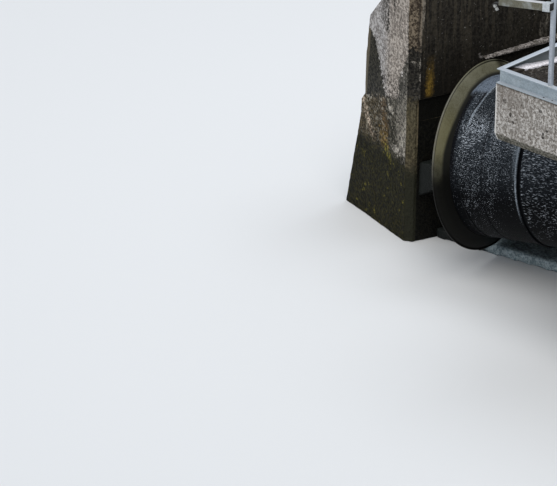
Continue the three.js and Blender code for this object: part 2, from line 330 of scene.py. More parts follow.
def effect(name, inputs, outputs):
    group = bpy.data.node_groups.new(name, "ShaderNodeTree")
    kinds = dict.fromkeys(("Place", "Facing", "Strip"), "NodeSocketVector")
    kinds["Colour"] = "NodeSocketColor"
    for way, labels in (("INPUT", inputs), ("OUTPUT", outputs)):
        for label in labels:
            kind = kinds.get(label, "NodeSocketFloat")
            socket = group.interface.new_socket(label, in_out=way, socket_type=kind)
            if way == "INPUT" and label not in kinds:
                socket.default_value = inputs[label]
    entry = tones(group.nodes.new("NodeGroupInput"))
    return group, entry, group.nodes.new("NodeGroupOutput")


def place_effect(group, place, **values):
    return put("ShaderNodeGroup", {"Place": place, **values}, node_tree=group)


def new_look(name):
    look = bpy.data.materials.new(name)
    look.use_nodes = True
    coordinates = tones(look.node_tree.nodes.new("ShaderNodeTexCoord"))
    return look, coordinates["Object"], coordinates["Normal"]


def finish_look(colour, roughness, height, depth, reach, gloss=0.5, metal=0):
    bump = put("ShaderNodeBump", {"Height": height, "Strength": depth, "Distance": reach})
    feed(colour.socket.id_data.nodes["Principled BSDF"], {
        "Base Color": colour, "Roughness": roughness, "Metallic": metal,
        "Specular IOR Level": gloss, "Normal": bump[0],
    })


# cement grit: salt and pepper sand, pin holes, larger holes and paler stones
grit, entry, leave = effect(
    "cement_grit", {"Place": None, "Holes": 0.1},
    ["Sand", "Cloud", "Pits", "Holes", "Stones", "Height"],
)
upright = stretched(entry["Place"], (1, 1, 0.8))
fine = noise(upright, 38, 2, 0.7) * 0.68 + noise(upright, 62, 1) * 0.32
sand = ramp(fine, 0.42, 0.59)
middle = noise(entry["Place"], 15, 5, 0.65)
cells = put("ShaderNodeTexVoronoi", {"Vector": upright, "Scale": 40})
rare = put("ShaderNodeSeparateColor", {0: cells["Color"]})
pits = ramp(ramp(rare[0], 0.7, 1) * 0.36 - cells["Distance"], 0, 0.08)
wide_cells = put("ShaderNodeTexVoronoi", {"Vector": entry["Place"], "Scale": 9})
chance = put("ShaderNodeSeparateColor", {0: wide_cells["Color"]})
reach = entry["Holes"] * ramp(chance[0], 0.45, 1)
holes = ramp(reach - wide_cells["Distance"], 0, 0.03)
stone_cells = put("ShaderNodeTexVoronoi", {"Vector": entry["Place"], "Scale": 58})
stone_pick = put("ShaderNodeSeparateColor", {0: stone_cells["Color"]})
stones = ramp(stone_pick[1], 0.6, 0.78) * ramp(middle, 0.42, 0.6)
high = middle * 0.8 + fine * 0.9
high = high - most(holes, pits) * 0.8
feed(leave, dict(Sand=sand, Cloud=middle, Pits=pits, Holes=holes, Stones=stones, Height=high))

# run marks: dirt washed down an upright face
runs, entry, leave = effect("run_marks", {"Place": None, "Spread": 0.55}, ["Mask", "Fine"])
thin = noise(stretched(entry["Place"], (26, 26, 1.6)), 1, 4, 0.62, 0.3)
broad = noise(stretched(entry["Place"], (5, 5, 0.8)), 1, 4)
mark = thin * 0.55 + broad * 0.45
feed(leave, dict(Mask=ramp(mark - entry["Spread"], -0.05, 0.07), Fine=ramp(thin, 0.4, 0.62)))

# damp line: everything below a wavering level
damp, entry, leave = effect("damp_line", {"Place": None, "Level": 0.5, "Softness": 0.2}, ["Mask"])
height = put("ShaderNodeSeparateXYZ", {0: entry["Place"]})[2]
waver = noise(entry["Place"], 5, 5, 0.6) * 0.5
depth = entry["Level"] + (waver - 0.25) - height
feed(leave, dict(Mask=ramp(depth / entry["Softness"], -0.5, 0.5)))

# places on the pier: leftwards from the chamfer, back from the river side corner, and height
pier_spot, entry, leave = effect("pier_spot", {"Place": None}, ["Left", "Rear", "High"])
edge_line = ring_centre.dot(off_pier) + side_face - chamfer_width
corner_line = ring_centre.dot(along_pier) + corner_t
feed(leave, dict(
    Left=edge_line - along(entry["Place"], off_pier),
    Rear=along(entry["Place"], along_pier) - corner_line,
    High=from_ring(entry["Place"], "z"),
))


def stroke(left, high, top, foot, half, soft=0.03):
    middle_line = slide(high, foot[1], top[1], foot[0], top[0])
    width = ramp(half - abs(left - middle_line), -soft, soft)
    tall = ramp(high, foot[1] - 0.04, foot[1] + 0.04) * ramp(high, top[1] + 0.03, top[1] - 0.03)
    return width * tall


def blobs(left, high, *spots):
    found = []
    for centre, reach in spots:
        aside = (left - centre[0]) * (1 / reach[0])
        above = (high - centre[1]) * (1 / reach[1])
        found.append(ramp(aside * aside + above * above, 1.3, 0.5))
    return most(*found)


# soaked lower face: orange and ochre bands, pale broken bits, moss below
soaked, entry, leave = effect(
    "soaked_face", {"Place": None, "Left": 0, "High": 0, "Sand": 0.5, "Stones": 0}, ["Colour"]
)
sand, stones = entry["Sand"], entry["Stones"]
rag = (noise(entry["Place"], 19, 5, 0.7) - 0.5) * 0.3
blotch = noise(entry["Place"], 8, 6, 0.7)
left, high = entry["Left"] + rag, entry["High"] + rag
colour = over(sand, (0.009, 0.0085, 0.006), (0.082, 0.073, 0.054))
grey_right = over(sand, (0.028, 0.025, 0.02), (0.21, 0.19, 0.155))
brown_left = over(sand, (0.018, 0.014, 0.008), (0.098, 0.076, 0.044))
orange = over(
    ramp(high, 0.1, -0.12),
    over(sand, (0.04, 0.022, 0.008), (0.18, 0.108, 0.044)),
    over(sand, (0.055, 0.033, 0.006), (0.28, 0.18, 0.048)),
)
orange_run = stroke(left, entry["High"], (0.465, 0.34), (0.405, -0.21), 0.062, 0.05)
ochre_band = over(sand, (0.1, 0.07, 0.04), (0.68, 0.56, 0.44))
bits = most(
    blobs(left, high, ((0.298, 0.24), (0.03, 0.05)), ((0.19, -0.15), (0.09, 0.045))),
    stroke(left, high, (0.052, 0.2), (0.075, -0.13), 0.04, 0.035)
    * slide(high, 0.18, -0.05, 0.35, 0.95),
    blobs(
        entry["Left"], entry["High"], ((0.752, 0.233), (0.045, 0.018)),
        ((0.596, 0.296), (0.03, 0.012)), ((0.325, 0.24), (0.026, 0.036)),
    ),
    stroke(entry["Left"], high, (0.012, 0.26), (0.03, -0.2), 0.012, 0.012) * 0.8,
    stroke(left, high, (0.72, 0.27), (0.66, 0.2), 0.07, 0.03) * ramp(stones, 0, 0.3),
)
mossy = ramp(high, -0.16, -0.3) * 0.96
vivid = blobs(left, high, ((0.31, -0.285), (0.055, 0.05)), ((0.375, -0.215), (0.05, 0.045)))
moss = most(
    vivid * slide(sand, 0.1, 0.6, 0.45, 1),
    mossy * ramp(noise(entry["Place"], 14, 5, 0.7), 0.59, 0.68),
)
colour = coats(
    colour,
    (ramp(blotch, 0.44, 0.6), (0.022, 0.02, 0.013)),
    (ramp(left, 0.24, 0.16) * ramp(high, -0.28, -0.14), grey_right),
    (ramp(left, 0.5, 0.58), brown_left),
    (orange_run * slide(high, 0.22, -0.05, 0.45, 0.85), orange),
    (stroke(left, entry["High"], (0.862, 0.2), (0.665, -0.168), 0.035, 0.03) * 0.85, ochre_band),
    (stones * slide(entry["High"], -0.5, 0.2, 0.15, 0.75), (0.34, 0.31, 0.25)),
    (bits * slide(sand, 0.2, 0.8, 0.25, 1), (0.46, 0.42, 0.36)),
    (mossy, over(sand, (0.003, 0.003, 0.001), (0.021, 0.019, 0.004))),
    (moss * 0.85, over(sand, (0.045, 0.04, 0.006), (0.19, 0.165, 0.028))),
)
feed(leave, dict(Colour=colour))

pier_look, place, facing = new_look("pier_concrete")
spot = place_effect(pier_spot, place)
left, rear, high = spot["Left"], spot["Rear"], spot["High"]
marks = place_effect(grit, place, Holes=0.05)
sand = marks["Sand"]
streaks = place_effect(runs, place, Spread=0.53)
rag = (noise(place, 30, 4, 0.7) - 0.5) * 0.16
# dry end face
warm = over(sand, (0.175, 0.15, 0.128), (0.52, 0.462, 0.405))
cool = over(sand, (0.2, 0.186, 0.178), (0.5, 0.478, 0.462))
pale = over(ramp(left + rag, 0.3, 0.5), warm, cool)
upper = ramp(high, 0.95, 1.45)
dark_run = most(
    stroke(left + rag * 0.5, high, (0.415, 2.2), (0.395, 1.05), 0.022, 0.014),
    stroke(left, high, (0.28, 2.2), (0.28, 1.3), 0.014, 0.012) * 0.8,
)
broad_run = stroke(left, high, (0.49, 2.2), (0.46, 1.1), 0.05, 0.03) * 0.55
lower_pits = ramp(high, 0.74, 0.5) * ramp(noise(place, 40, 2), 0.54, 0.6)
pale = coats(
    pale,
    (ramp(marks["Cloud"], 0.55, 0.4) * 0.35, (0.16, 0.145, 0.125)),
    (streaks["Mask"] * (upper * 0.75), (0.075, 0.066, 0.055)),
    (most(dark_run, broad_run) * ramp(sand, 1.4, 0.3), (0.022, 0.02, 0.017)),
    (marks["Pits"] * 0.8, (0.06, 0.052, 0.044)),
    (lower_pits * 0.9, (0.04, 0.033, 0.028)),
)
# dark lower parts of the end face
dark_left = over(sand, (0.005, 0.0045, 0.003), (0.042, 0.039, 0.029))
dark_left = over(marks["Stones"] * 0.35, dark_left, (0.12, 0.11, 0.09))
dark_right = over(sand, (0.015, 0.014, 0.011), (0.1, 0.092, 0.076))
dark_right = over(marks["Stones"] * 0.8, dark_right, (0.26, 0.24, 0.21))
dark_lower_part = over(ramp(left, 0.34, 0.28), dark_left, dark_right)
bright_chip = blobs(left, high, ((0.112, 0.705), (0.022, 0.035))) * ramp(sand, 0.2, 0.6)
outline = slide(high, 0.25, 1.11, 0.812, 0.745)
rim = ramp(left - outline, -0.04, -0.026)
dark_lower_part = over(rim * 0.8, dark_lower_part, (0.125, 0.105, 0.072))
# Lines bounding the pale upper region of the end face (light); to the left of and below them the
# face is darker.
light_left = most(slide(high, 0.36, 0.9, 0.412, 0.628), slide(high, 0.42, 1.06, 0, 0.856))
light_right = slide(high, 0.948, 0.62, 0, 0.16)
light_low = slide(left, 0.207, 0.42, 0.412, 0.358)
light = ramp(light_left - left + rag, -0.01, 0.01) * ramp(left - light_right + rag, -0.01, 0.012)
light = light * ramp(high - light_low + rag * 1.8, -0.012, 0.012)
soaked_part = place_effect(
    soaked, place, Left=left, High=high, Sand=sand, Stones=marks["Stones"]
)["Colour"]
soaked_line = slide(left, 0, 0.85, 0.493, 0.172)
below = ramp(soaked_line - high + rag * 2, -0.03, 0.02)
end_face = over(light, over(below, dark_lower_part, soaked_part), pale)
end_face = over(bright_chip, end_face, (0.62, 0.58, 0.54))
# chamfer
blotch = noise(place, 9, 6, 0.68)
brown = over(sand, (0.034, 0.025, 0.017), (0.19, 0.152, 0.108))
strip_share = ramp(left + 0.082, -0.002, -0.008) * ramp(blotch, 0.6, 0.48)
dark_groove = ramp(left + 0.066, 0.002, -0.006) * ramp(left + 0.08, -0.006, 0)
brown = coats(
    brown,
    (ramp(blotch, 0.48, 0.6) * 0.7, (0.03, 0.022, 0.016)),
    (strip_share * 0.8, (0.19, 0.16, 0.124)),
    (dark_groove * 0.7, (0.022, 0.018, 0.014)),
)
black = over(sand, (0.004, 0.0036, 0.003), (0.028, 0.025, 0.02))
black = over(marks["Stones"] * 0.22, black, (0.15, 0.14, 0.12))
for spot in (
    ((-0.04, 0.875), (0.02, 0.012)), ((-0.088, 0.86), (0.007, 0.07)), ((-0.09, 0.71), (0.008, 0.05))
):
    chip = blobs(left, high, spot) * ramp(sand, 0.25, 0.7)
    black = over(chip * 0.85, black, (0.22, 0.2, 0.17))
olive = over(sand, (0.048, 0.04, 0.022), (0.105, 0.088, 0.052))
olive = over(ramp(left + 0.084, -0.001, -0.008) * 0.6, olive, (0.2, 0.16, 0.1))
low_edge = high + rag * 2.5
black_part = ramp(low_edge, 0.34, 0.54)
chamfer = over(ramp(low_edge, 0.98, 1.06), over(black_part, olive, black), brown)
# river side
flow = place_effect(runs, place, Spread=0.5)
side = over(ramp(flow["Fine"], 0.15, 0.85), (0.011, 0.009, 0.007), (0.044, 0.037, 0.026))
mottle = noise(place, 24, 5, 0.7)
washed = (
    stroke(rear, high, (1.49, 1.14), (1.42, 0.82), 0.05, 0.03)
    * slide(flow["Fine"], 0.2, 0.8, 0.25, 0.8)
)
ochre_edge = rear + rag * 0.7
ochre = stroke(ochre_edge, high, (0.118, 0.93), (0.108, 0.5), 0.042, 0.022)
ochre = ochre * slide(high, 0.88, 0.62, 0.12, 1) * slide(flow["Fine"], 0.2, 0.8, 1, 0.45)
fringe = rear + rag * 0.1 - slide(high, 1.12, 1.4, -0.004, 0.034)
fringe = ramp(fringe, 0.004, -0.003) * ramp(high, 1.1, 1.16)
specks = ramp(noise(place, 52, 1), 0.735, 0.76)
ledge_tip = blobs(
    rear + rag * 0.3, high, ((0.714, 0.802), (0.03, 0.016)), ((0.69, 0.822), (0.014, 0.028))
)
low_strip = ramp(high, 0.482, 0.474) * ramp(rear, 0.006, 0)
worn_strip = over(ramp(rear, -0.016, -0.01) * 0.6, olive, (0.2, 0.16, 0.1))
side = coats(
    side,
    (ramp(mottle, 0.5, 0.62) * 0.7, (0.009, 0.0075, 0.006)),
    # Darker towards the bottom: wet dark concrete with painted shade beside the tube.
    (ramp(high, 1.45, 0.6) * 0.8, (0.0065, 0.0055, 0.004)),
    (ramp(rear, 0.45, 1.25) * 0.45, (0.008, 0.007, 0.005)),
    (sand * (ramp(high, 0.3, 1.3) * 0.3), (0.075, 0.067, 0.054)),
    (washed, over(sand, (0.045, 0.04, 0.03), (0.19, 0.17, 0.14))),
    (ochre, over(sand, (0.11, 0.066, 0.012), (0.24, 0.15, 0.028))),
    (fringe * 0.9, over(sand, (0.085, 0.072, 0.056), (0.23, 0.2, 0.16))),
    (specks * (ramp(high, 0.45, 0.75) * 0.6), (0.3, 0.29, 0.27)),
    # Near black below the step low on the river side: wet concrete and painted shade in the recess.
    (ramp(high, 0.5, 0.46) * 0.85, (0.003, 0.003, 0.002)),
    (ledge_tip * slide(sand, 0.1, 0.6, 0.4, 0.9), (0.185, 0.168, 0.158)),
    (low_strip, over(black_part, worn_strip, black)),
)
turned_side = along(facing, off_pier)
colour = over(ramp(left, 0.003, -0.003), end_face, chamfer)
colour = over(ramp(turned_side, 0.86, 0.95), colour, side)
# leaning left side and rear end, out of the photograph
leaning = over(
    streaks["Mask"],
    over(sand, (0.12, 0.11, 0.092), (0.27, 0.25, 0.215)),
    (0.05, 0.045, 0.036),
)
hidden_wet = place_effect(damp, place, Level=1.75, Softness=0.35)["Mask"]
leaning = over(hidden_wet, leaning, over(sand, (0.02, 0.02, 0.014), (0.07, 0.064, 0.045)))
turned_rear = along(facing, along_pier)
colour = over(most(ramp(turned_side, -0.5, -0.75), ramp(turned_rear, 0.6, 0.8)), colour, leaning)
wetness = most(ramp(turned_side, 0.8, 0.97), ramp(high, 1, 0.3) * (1 - light))
finish_look(colour, slide(wetness, 0, 1, 0.92, 0.6), marks["Height"], 0.85, 0.02, 0.15)

foot_look, place, facing = new_look("pier_foot")
spot = place_effect(pier_spot, place)
left, rear, high = spot["Left"], spot["Rear"], spot["High"]
marks = place_effect(grit, place, Holes=0.08)
sand = marks["Sand"]
soft_high = high + (noise(place, 19, 5, 0.7) - 0.5) * 0.3
colour = place_effect(
    soaked, place, Left=left, High=high, Sand=sand, Stones=marks["Stones"]
)["Colour"]
chamfer = over(sand, (0.044, 0.037, 0.022), (0.105, 0.088, 0.052))
chamfer = over(ramp(soft_high, -0.2, -0.4), chamfer, (0.02, 0.02, 0.012))
side = over(sand, (0.002, 0.002, 0.0015), (0.008, 0.0075, 0.005))
side = over(ramp(rear, 0.006, 0), side, chamfer)
worn_edge = between(rear, -0.016, -0.01, 0, 0.006) * ramp(soft_high, -0.1, 0.05)
side = over(worn_edge * 0.75, side, (0.19, 0.152, 0.095))
turned_side = along(facing, off_pier)
side_edge = ramp(rear, 0.004, 0.012) * ramp(turned_side, 0.3, 0.5)
out_of_sight = over(
    ramp(soft_high, 0.1, -0.12),
    over(sand, (0.045, 0.038, 0.028), (0.14, 0.122, 0.095)),
    over(sand, (0.006, 0.006, 0.003), (0.03, 0.029, 0.012)),
)
colour = coats(
    colour,
    (ramp(left, 0.003, -0.003), chamfer),
    (most(ramp(turned_side, 0.86, 0.95), side_edge), side),
    (ramp(along(facing, along_pier), 0.6, 0.8), out_of_sight),
)
finish_look(colour, 0.65, marks["Height"], 1, 0.028, 0.1)

for node, look, slot in (
    ("pier_nose", pier_look, "pier_concrete"), ("pier_foot", foot_look, "wet_concrete")
):
    pier = from_node(node, node + "_cast")
    crisp_skin(pier, 0.042, 0, 0.014, 0.01, Vector((0, 0, 1)), along_pier, off_pier)
    settle(pier, look, slot, node)

# Ledge along the pier's river side
# A narrow shelf of rough pale concrete, broken along its lower edge.
ledge_look, place, _ = new_look("ledge_mortar")
marks = place_effect(grit, place, Holes=0.1)
colour = over(marks["Sand"], (0.055, 0.048, 0.044), (0.235, 0.214, 0.2))
dirty = ramp(noise(place, 14, 5, 0.65), 0.52, 0.64)
colour = over(dirty * 0.75, colour, (0.055, 0.048, 0.038))
finish_look(colour, 0.85, marks["Height"], 0.9, 0.02, 0.2)


def cast_piece(node, name, look, slot, cell, wave, grit):
    piece = from_node(node, name)
    remesh = piece.modifiers.new("cast", "REMESH")
    remesh.mode = "VOXEL"
    remesh.voxel_size = cell
    remesh.use_smooth_shade = True
    dent_surface(piece, wave, grit)
    settle(piece, look, slot, node)


cast_piece("wall_ledge", "ledge_cast", ledge_look, "mortar", 0.007, 0.016, 0.014)

# Channel walls, headwall, trough and drive platform
# Board-marked concrete, stained by water below and by rain from the top edges.
wall_look, place, facing = new_look("wall_concrete")
marks = place_effect(grit, place, Holes=0.06)
streaks = place_effect(runs, place, Spread=0.54)
wet = place_effect(damp, place, Level=0.75, Softness=0.35)["Mask"]
colour = over(marks["Sand"], (0.165, 0.15, 0.13), (0.335, 0.31, 0.275))
board = put(
    "ShaderNodeTexWave",
    {"Vector": place, "Scale": 1.6, "Distortion": 0.3, "Detail": 1},
    bands_direction="Z",
    wave_profile="SAW",
)[1]
seam = ramp(board, 0.96, 1)
upright = 1 - ramp(abs(along(facing, (0, 0, 1))), 0.5, 0.8)
slime = over(noise(place, 6, 6), (0.02, 0.022, 0.014), (0.085, 0.08, 0.05))
colour = coats(
    colour,
    (ramp(marks["Cloud"], 0.56, 0.4) * 0.4, (0.15, 0.135, 0.11)),
    (streaks["Mask"] * (upright * 0.7), (0.07, 0.06, 0.046)),
    (seam * 0.45, (0.07, 0.06, 0.05)),
    (marks["Pits"] * 0.7, (0.06, 0.052, 0.044)),
    (wet, slime),
)
finish_look(colour, slide(wet, 0, 1, 0.92, 0.5), marks["Height"] - seam, 0.7, 0.015, 0.3)
for node, cell in (
    ("rear_wall", 0.04), ("near_wall", 0.034), ("headwall", 0.034), ("trough_floor", 0.04),
    ("outlet_weir", 0.03), ("drive_platform", 0.04), ("drive_plinth", 0.024),
):
    cast_piece(node, node + "_cast", wall_look, "wall_concrete", cell, 0.01, 0.006)

# Sill under the tube and corbel of the lower bearing
# Always wet: dark green-grey concrete with a slick film. It is painted paler where it lies under
# the tube, as painted light, and near black at the tube's lower end and on the corbel, as painted
# shade.
sill_look, place, _ = new_look("wet_sill")
marks = place_effect(grit, place, Holes=0.06)
sand = marks["Sand"]
slime = noise(place, 5.5, 6, 0.6, 0.6)
colour = over(ramp(slime, 0.35, 0.7), (0.026, 0.036, 0.038), (0.095, 0.122, 0.122))
# Painted light: the part under the tube is paler, as if lit from the open front.
lit_under_tube = ramp(from_ring(place, "y"), -0.1, 0.14) * slide(slime, 0.35, 0.65, 0.55, 1)
colour = coats(
    colour,
    (sand * 0.4, (0.16, 0.195, 0.195)),
    (marks["Stones"] * 0.4, (0.14, 0.15, 0.13)),
    (lit_under_tube, over(sand, (0.22, 0.28, 0.3), (0.48, 0.56, 0.58))),
    # Painted shade: near black from the lower end of the tube outwards, over the corbel.
    (ramp(from_ring(place, "x"), 0.05, -0.05) * 0.97, (0.007, 0.008, 0.007)),
)
finish_look(colour, 0.45, marks["Height"], 0.8, 0.02, 0.12)
for node, cell in (("channel_floor", 0.03), ("lower_corbel", 0.016)):
    cast_piece(node, node + "_cast", sill_look, "wet_concrete", cell, 0.008, 0.008)

# Rotating tube
# Rolled steel bays with a hoop lip where each meets the next and a weld seam half way, coated
# black and always under a running film of water. The film's glints and streaks, a sky reflection
# on top, highlights and shadows at the hoops and the bead, and shade low down are painted into
# the coating's colour. The end collar is a dished olive-painted ring, with painted shade and
# highlights in its paint.
tube_turn = math.radians(7.44)
across = Vector((-math.sin(tube_turn), math.cos(tube_turn), 0))
across = (across - screw_axis * across.dot(screw_axis)).normalized()
upward = screw_axis.cross(across)
on_screw = (
    Matrix.Translation(ring_centre)
    @ Matrix((across, upward, screw_axis)).transposed().to_4x4()
)
bay = 0.905
bays = 6
weld_at = 0.47
tube_r = 0.8
tube_in = 0.788
collar_end = 0.1
gap = 0.0003


def turned_body(name, stations, sides, solid=False, smooth=35, at=0):
    stations = [(at + s, r) for s, r in stations]
    s_now, r_now = stations[0]
    fill = "NGON" if solid else "NOTHING"
    circle = bpy.ops.mesh.primitive_circle_add
    body = begin(name, circle, vertices=sides, radius=r_now, fill_type=fill)
    open_mesh()
    bpy.ops.transform.translate(value=(0, 0, s_now))
    for s, r in stations[1:] + ([] if solid else stations[:1]):
        bpy.ops.mesh.extrude_region_move(TRANSFORM_OT_translate={"value": (0, 0, s - s_now)})
        bpy.ops.transform.resize(value=(r / r_now, r / r_now, 1), center_override=(0, 0, s))
        s_now, r_now = s, r
    bpy.ops.mesh.select_all(action="SELECT")
    bpy.ops.mesh.remove_doubles(threshold=0.00001)
    bpy.ops.mesh.normals_make_consistent(inside=False)
    close_mesh()
    body.data.transform(on_screw)
    pick(body)
    shade_smooth(smooth)
    return body


# places round the screw: distance along, share of the way up, radius, and all three as one place
round_screw, entry, leave = effect(
    "round_screw", {"Place": None}, ["Along", "Up", "Radius", "Strip"]
)
shift = put(
    "ShaderNodeVectorMath", {0: entry["Place"], 1: tuple(ring_centre)}, operation="SUBTRACT"
)[0]
far_s = along(shift, screw_axis)
side_c = along(shift, across)
up_c = along(shift, upward)
length = put("ShaderNodeCombineXYZ", {0: side_c, 1: up_c, 2: 0})[0]
radius = put("ShaderNodeVectorMath", {0: length}, operation="LENGTH")[1]
strip = put("ShaderNodeCombineXYZ", {0: far_s, 1: side_c, 2: up_c})[0]
feed(leave, dict(Along=far_s, Up=up_c / radius, Radius=radius, Strip=strip))

# Olive paint on the collar, with painted shade in the groove, at the joint with the tube, on the
# lower side and at the top right, a painted highlight on the rim and a painted sky reflection on
# its inner edge at the top.
collar_look, place, _ = new_look("collar_paint")
polar = place_effect(round_screw, place)
up, radius = polar["Up"], polar["Radius"]
film = noise(place, 6, 5, 0.6)
fine = noise(place, 70, 2)
olive = over(ramp(film, 0.3, 0.7), (0.069, 0.065, 0.039), (0.108, 0.104, 0.071))
yellow = between(up, 0.1, 0.4, 0.55, 0.85)
olive = coats(
    olive,
    (ramp(fine, 0.35, 0.65) * 0.35, (0.146, 0.14, 0.098)),
    (yellow * 0.35, (0.146, 0.129, 0.052)),
)
# Painted shade on the collar's inner part, where it dishes into the tube; inner is this shade's
# mask.
joint_shade_from = slide(up, 0.34, 0.72, 0.868, 0.834)
joint_shade_from = joint_shade_from + ramp(up, 0.88, 0.95) * 0.01
inner = ramp(radius - joint_shade_from, 0.02, -0.016)
colour = over(inner, olive, (0.012, 0.012, 0.01))
# Painted shade in the groove inside the rim.
groove_shade = between(radius, 0.94, 0.944, 0.948, 0.952)
# Painted sky reflection on the wet inner edge at the top, in the tube's colour.
sky_on_wet_top = ramp(up, 0.915, 0.955) * ramp(radius, 0.8205, 0.8135)
rim = ramp(radius, 0.953, 0.955)
# Painted highlight along the rim's edge.
rim_highlight = rim * slide(noise(place, 22, 3), 0.35, 0.65, 0.35, 1)
aside = put("ShaderNodeSeparateXYZ", {0: polar["Strip"]})[1]
shaded_top = ramp(aside, 0.25, 0.35) * ramp(up, 0.86, 0.92)
# Painted shade on the collar's lower side.
collar_low_shade = ramp(up + (film - 0.5) * 0.3, 0.42, -0.06)
colour = coats(
    colour,
    (groove_shade * 0.75, (0.02, 0.019, 0.014)),
    (sky_on_wet_top * slide(fine, 0.4, 0.6, 0.45, 0.9), (0.145, 0.175, 0.22)),
    (rim_highlight * ramp(up, 0.98, 0.8), (0.135, 0.13, 0.108)),
    (shaded_top * 0.85, (0.01, 0.0085, 0.006)),
    (collar_low_shade * 0.98, (0.0025, 0.0025, 0.002)),
)
finish_look(colour, slide(collar_low_shade, 0, 1, 0.42, 0.5), fine + film, 0.15, 0.004, 0.1)
collar = turned_body(
    "end_collar_ring",
    [
        (-0.012, 0.944), (-0.006, 0.957), (-0.002, 0.961), (0.008, 0.962), (0.012, 0.96),
        (0.013, 0.955), (0.006, 0.953), (0.001, 0.95), (0.003, 0.946), (0.011, 0.942),
        (0.03, 0.915), (0.055, 0.875), (0.078, 0.836), (0.092, 0.812), (0.1, 0.8), (0.1, 0.788),
        (0.088, 0.788), (0.05, 0.852), (0.01, 0.905), (-0.012, 0.925),
    ],
    240,
    smooth=50,
)
settle(collar, collar_look, "collar_paint", "end_collar", body="rotor")

tube_look, place, _ = new_look("tube_coating")
polar = place_effect(round_screw, place)
up, far, strip = polar["Up"], polar["Along"], polar["Strip"]
gust = (noise(strip, 4, 3) - 0.5) * 0.2
ring_band = (noise(stretched(strip, (16, 2, 2)), 1, 3, 0.6) - 0.5) * 0.16
dense = slide(up, 0.6, -0.45, 0.545, 0.672)
dense = dense + ramp(up, 0.68, 0.9) * 0.06
dense = dense + ramp(far, 0.24, 0.16) * 0.05
dense = dense - gust - ring_band
dense = dense - ramp(far, 0.9, 0.93) * 0.01
dots = noise(stretched(strip, (92, 148, 148)), 1, 1, 0.5)
dashes = noise(stretched(strip, (27, 168, 168)), 1, 1, 0.5)
rib_zone = between(up, 0.4, 0.47, 0.56, 0.63) * ramp(far, 0.6, 0.45)
to_dash = most(ramp(far, 0.55, 1), rib_zone * 0.85)
flecks = dots * (1 - to_dash) + dashes * to_dash
# Painted glints: light dots and dashes of the water film, more of them towards the top of the tube
# and brighter low down.
glints = ramp(flecks - dense, 0, 0.1)
# Painted sheen: a blue-grey tone over the dark coating on the upper side.
sheen_mask = slide(up, 0.65, -0.15, 1, 0)
dark_base_and_sheen = over(sheen_mask * ramp(dots, 0.34, 0.62), (0.002, 0.0024, 0.003), (0.042, 0.05, 0.06))
glint_tone = over(ramp(up, 0.1, -0.4), (0.44, 0.48, 0.53), (0.75, 0.8, 0.86))
smooth_part = between(far, 0.43, 0.52, 0.88, 0.93) * ramp(up, 0, 0.3)
glint_share = slide(up, 0.48, 0.34, 0.9, 0.66) * (1 - smooth_part * 0.38)
colour = over(glints * glint_share, dark_base_and_sheen, glint_tone)
# Painted glints: thin light streaks along the tube in the water film.
streak_glints = noise(stretched(strip, (1.6, 60, 60)), 1, 1)
# Painted highlight along the bead and painted shade on its near side.
bead_far = far - ramp(up, 0.72, 0.92) * 0.026
bead_highlight = between(bead_far, 0.216, 0.222, 0.232, 0.24)
bead_shade = between(bead_far, 0.196, 0.203, 0.213, 0.219)
bead_part = ramp(up, 0.5, 0.78)
bead_share = bead_part * slide(dots, 0.38, 0.62, 0.2, 0.6)
hoop_at = far % bay
seam_part = abs(hoop_at - weld_at)
# Painted highlight on each hoop lip, painted light on the lip's upper near side, and painted shadow
# on its far side and just past it.
hoop_highlight = between(hoop_at, 0.857, 0.863, 0.878, 0.89)
hoop_shine = ramp(up, -0.48, -0.08) * slide(dots, 0.4, 0.6, 0.3, 1)
hoop_lit_side = ramp(hoop_at, 0.8, 0.85) * (ramp(up, 0, 0.45) * ramp(hoop_at, 0.897, 0.89))
hoop_shadow = most(ramp(hoop_at, 0.89, 0.897), ramp(hoop_at, 0.026, 0.018) * ramp(far, 0.5, 0.6))
# Painted sky reflection on the top of the tube, up to the bead.
sky_reflection = ramp(up, 0.945, 0.97) * ramp(bead_far, 0.235, 0.215)
# Painted shade on the upper side just past the bead.
shade_past_bead = ramp(up, 0.68, 0.82) * (ramp(bead_far, 0.24, 0.252) * ramp(far, 0.65, 0.45))
start_dark = ramp(far, 0.15, 0.128) * between(up, -0.2, 0.3, 0.915, 0.955)
# Painted shade on the underside of the tube.
low_shade = ramp(up, -0.1, -0.75)
colour = coats(
    colour,
    (ramp(streak_glints, 0.705, 0.73) * 0.35, (0.16, 0.18, 0.2)),
    (bead_shade * (bead_part * 0.85), (0.006, 0.007, 0.009)),
    (bead_highlight * bead_share, (0.28, 0.32, 0.36)),
    (ramp(seam_part, 0.01, 0.005) * 0.6, (0.004, 0.0045, 0.006)),
    (hoop_highlight * (hoop_shine * 0.85), (0.33, 0.375, 0.425)),
    (hoop_lit_side * slide(dots, 0.4, 0.6, 0.1, 0.8), (0.12, 0.142, 0.165)),
    (hoop_shadow, (0.0025, 0.003, 0.004)),
    (sky_reflection * slide(dots, 0.42, 0.58, 0.35, 0.95), (0.145, 0.175, 0.22)),
    (shade_past_bead * 0.55, (0.004, 0.005, 0.006)),
    (start_dark * 0.9, (0.003, 0.003, 0.004)),
    (low_shade * 0.3, (0.0012, 0.0014, 0.0018)),
)
film_height = glints * 0.6 + dots
finish_look(colour, slide(dots, 0.3, 0.7, 0.52, 0.36), film_height, 0.4, 0.006, 0.03)
